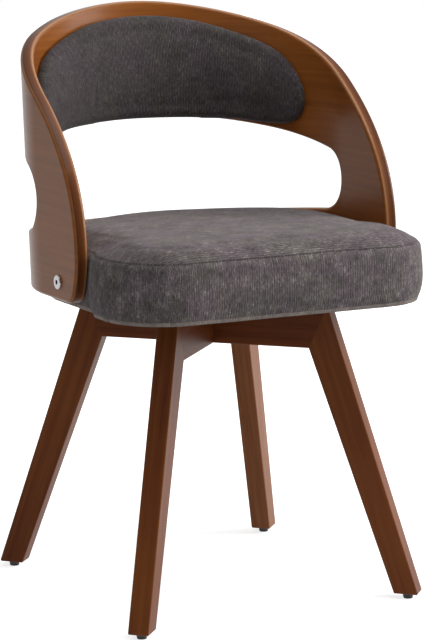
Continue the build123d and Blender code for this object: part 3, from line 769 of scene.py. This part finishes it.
def pad_hold(place):
    """The pad is held where it lies on its board."""
    return 1.0 if in_front(place) < PAD_HELD else 0.0


pad = soft_copy("back_padding", 0.004, "back_pad", "back_pad_board")
smoother(pad, 4)
swell(pad, pad_hold, 0.003, lambda place: PAD_SWELL)
smoother(pad, 2)
finer(pad)
for vertex, normal in zip(pad.data.vertices, normals(pad)):
    vertex.co += normal * unevenness(vertex.co, 12.0, 16.0) * PAD_UNEVEN
map_cloth(pad, lambda point, face: (round_shell(point), point.z))
upholster(pad, pad_shaded_chenille)
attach(pad, "seat")
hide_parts("back_pad")


# ---------------------------------------------------------------- floor, light and camera

# How bright the surroundings are as light on the chair.
SKY_LIGHT = 0.3
# Direction in which the surroundings are at their whitest for shiny things.
WHITE_WAY = (0.3, 0.9, 0.25)
# Camera fitted to the photograph: its place, how far below level and towards +X it looks, in
# degrees, and its lens in millimetres.
CAMERA_AT = (-1.7096, -3.2257, 1.0279)
CAMERA_DOWN = 10.26
CAMERA_TURN = 27.98
CAMERA_LENS = 153.96


def seen_by(tree, ray, *kinds):
    """1 for these kinds of ray and 0 for the others."""
    seen = (ray, kinds[0])
    for kind in kinds[1:]:
        seen = calc(tree, "MAXIMUM", seen, (ray, kind))
    return seen


def studio_white():
    """Pale matt floor that the camera and shiny things see as white, apart from its shadows."""
    material, tree, out = new_material("matt white paper")
    place = put(tree, "ShaderNodeTexCoord")
    fibres = mottle(tree, (place, "Object"), 60.0, 3.0)
    tint = shades(tree, fibres, (0.0, "#cfcfcf"), (1.0, "#d6d6d6"))
    paper = put(tree, "ShaderNodeBsdfDiffuse", {"Color": tint})
    ray = put(tree, "ShaderNodeLightPath")
    seen = seen_by(tree, ray, "Is Camera Ray", "Is Glossy Ray")
    far = put(tree, "ShaderNodeVectorMath", {0: (place, "Object")}, operation="LENGTH")
    cove = remap(tree, (far, "Value"), 0.4, 1.6, 0.74, 1.0)
    lift = calc(tree, "MULTIPLY", seen, cove)
    glow = put(tree, "ShaderNodeEmission", {"Color": colour("#ffffff"), "Strength": lift})
    both = put(tree, "ShaderNodeAddShader", {0: (paper, "BSDF"), 1: (glow, "Emission")})
    tree.links.new(both.outputs["Shader"], out.inputs["Surface"])
    return material


def white_surroundings(sky):
    """White for the camera, a cove from grey to white for shiny things, and dim as a light."""
    ray = put(sky, "ShaderNodeLightPath")
    seen = seen_by(sky, ray, "Is Camera Ray", "Is Glossy Ray", "Is Transmission Ray")
    way = put(sky, "ShaderNodeTexCoord")
    behind = put(
        sky, "ShaderNodeVectorMath", {0: (way, "Generated"), 1: WHITE_WAY}, operation="DOT_PRODUCT"
    )
    cove = remap(sky, (behind, "Value"), -0.45, 0.35, 0.25, 1.0)
    shown = calc(sky, "MAXIMUM", cove, (ray, "Is Camera Ray"))
    level = put(sky, "ShaderNodeMix", {"Factor": seen, "A": SKY_LIGHT, "B": shown})
    sockets = {"Color": colour("#ffffff"), "Strength": (level, "Result")}
    light = put(sky, "ShaderNodeBackground", sockets)
    sky_out = put(sky, "ShaderNodeOutputWorld")
    sky.links.new(light.outputs["Background"], sky_out.inputs["Surface"])


def softbox(name, place, aim, size, watts):
    """A square soft light at a place, aimed at a point."""
    bpy.ops.object.light_add(type="AREA", location=place)
    lamp = bpy.context.view_layer.objects.active
    lamp.name = name
    lamp.data.shape = "SQUARE"
    lamp.data.size = size
    lamp.data.energy = watts
    lamp.rotation_euler = (Vector(aim) - Vector(place)).to_track_quat("-Z", "Y").to_euler()


bpy.ops.object.select_all(action="DESELECT")
bpy.ops.mesh.primitive_plane_add(size=14.0, location=(0, 3.0, 0))
floor = bpy.context.view_layer.objects.active
bpy.ops.object.transform_apply(location=True)
floor.name = "floor"
floor.data.materials.append(studio_white())

world = bpy.data.worlds.new("white studio")
bpy.context.scene.world = world
world.use_nodes = True
world.node_tree.nodes.clear()
white_surroundings(world.node_tree)

softbox("overhead softbox", (0.3, -0.6, 2.9), (0, 0, 0.5), size=1.8, watts=40.0)
softbox("front softbox", (-1.9, -2.4, 1.9), (0, 0, 0.45), size=1.4, watts=8.0)
softbox("right softbox", (2.4, -1.0, 1.5), (0, 0, 0.45), size=1.4, watts=72.0)

bpy.ops.object.camera_add(location=CAMERA_AT)
camera = bpy.context.view_layer.objects.active
camera.rotation_euler = (math.radians(90.0 - CAMERA_DOWN), 0.0, math.radians(-CAMERA_TURN))
camera.data.sensor_fit = "VERTICAL"
camera.data.sensor_height = 36.0
camera.data.lens = CAMERA_LENS
bpy.context.scene.camera = camera
bpy.context.scene.view_settings.view_transform = "Standard"
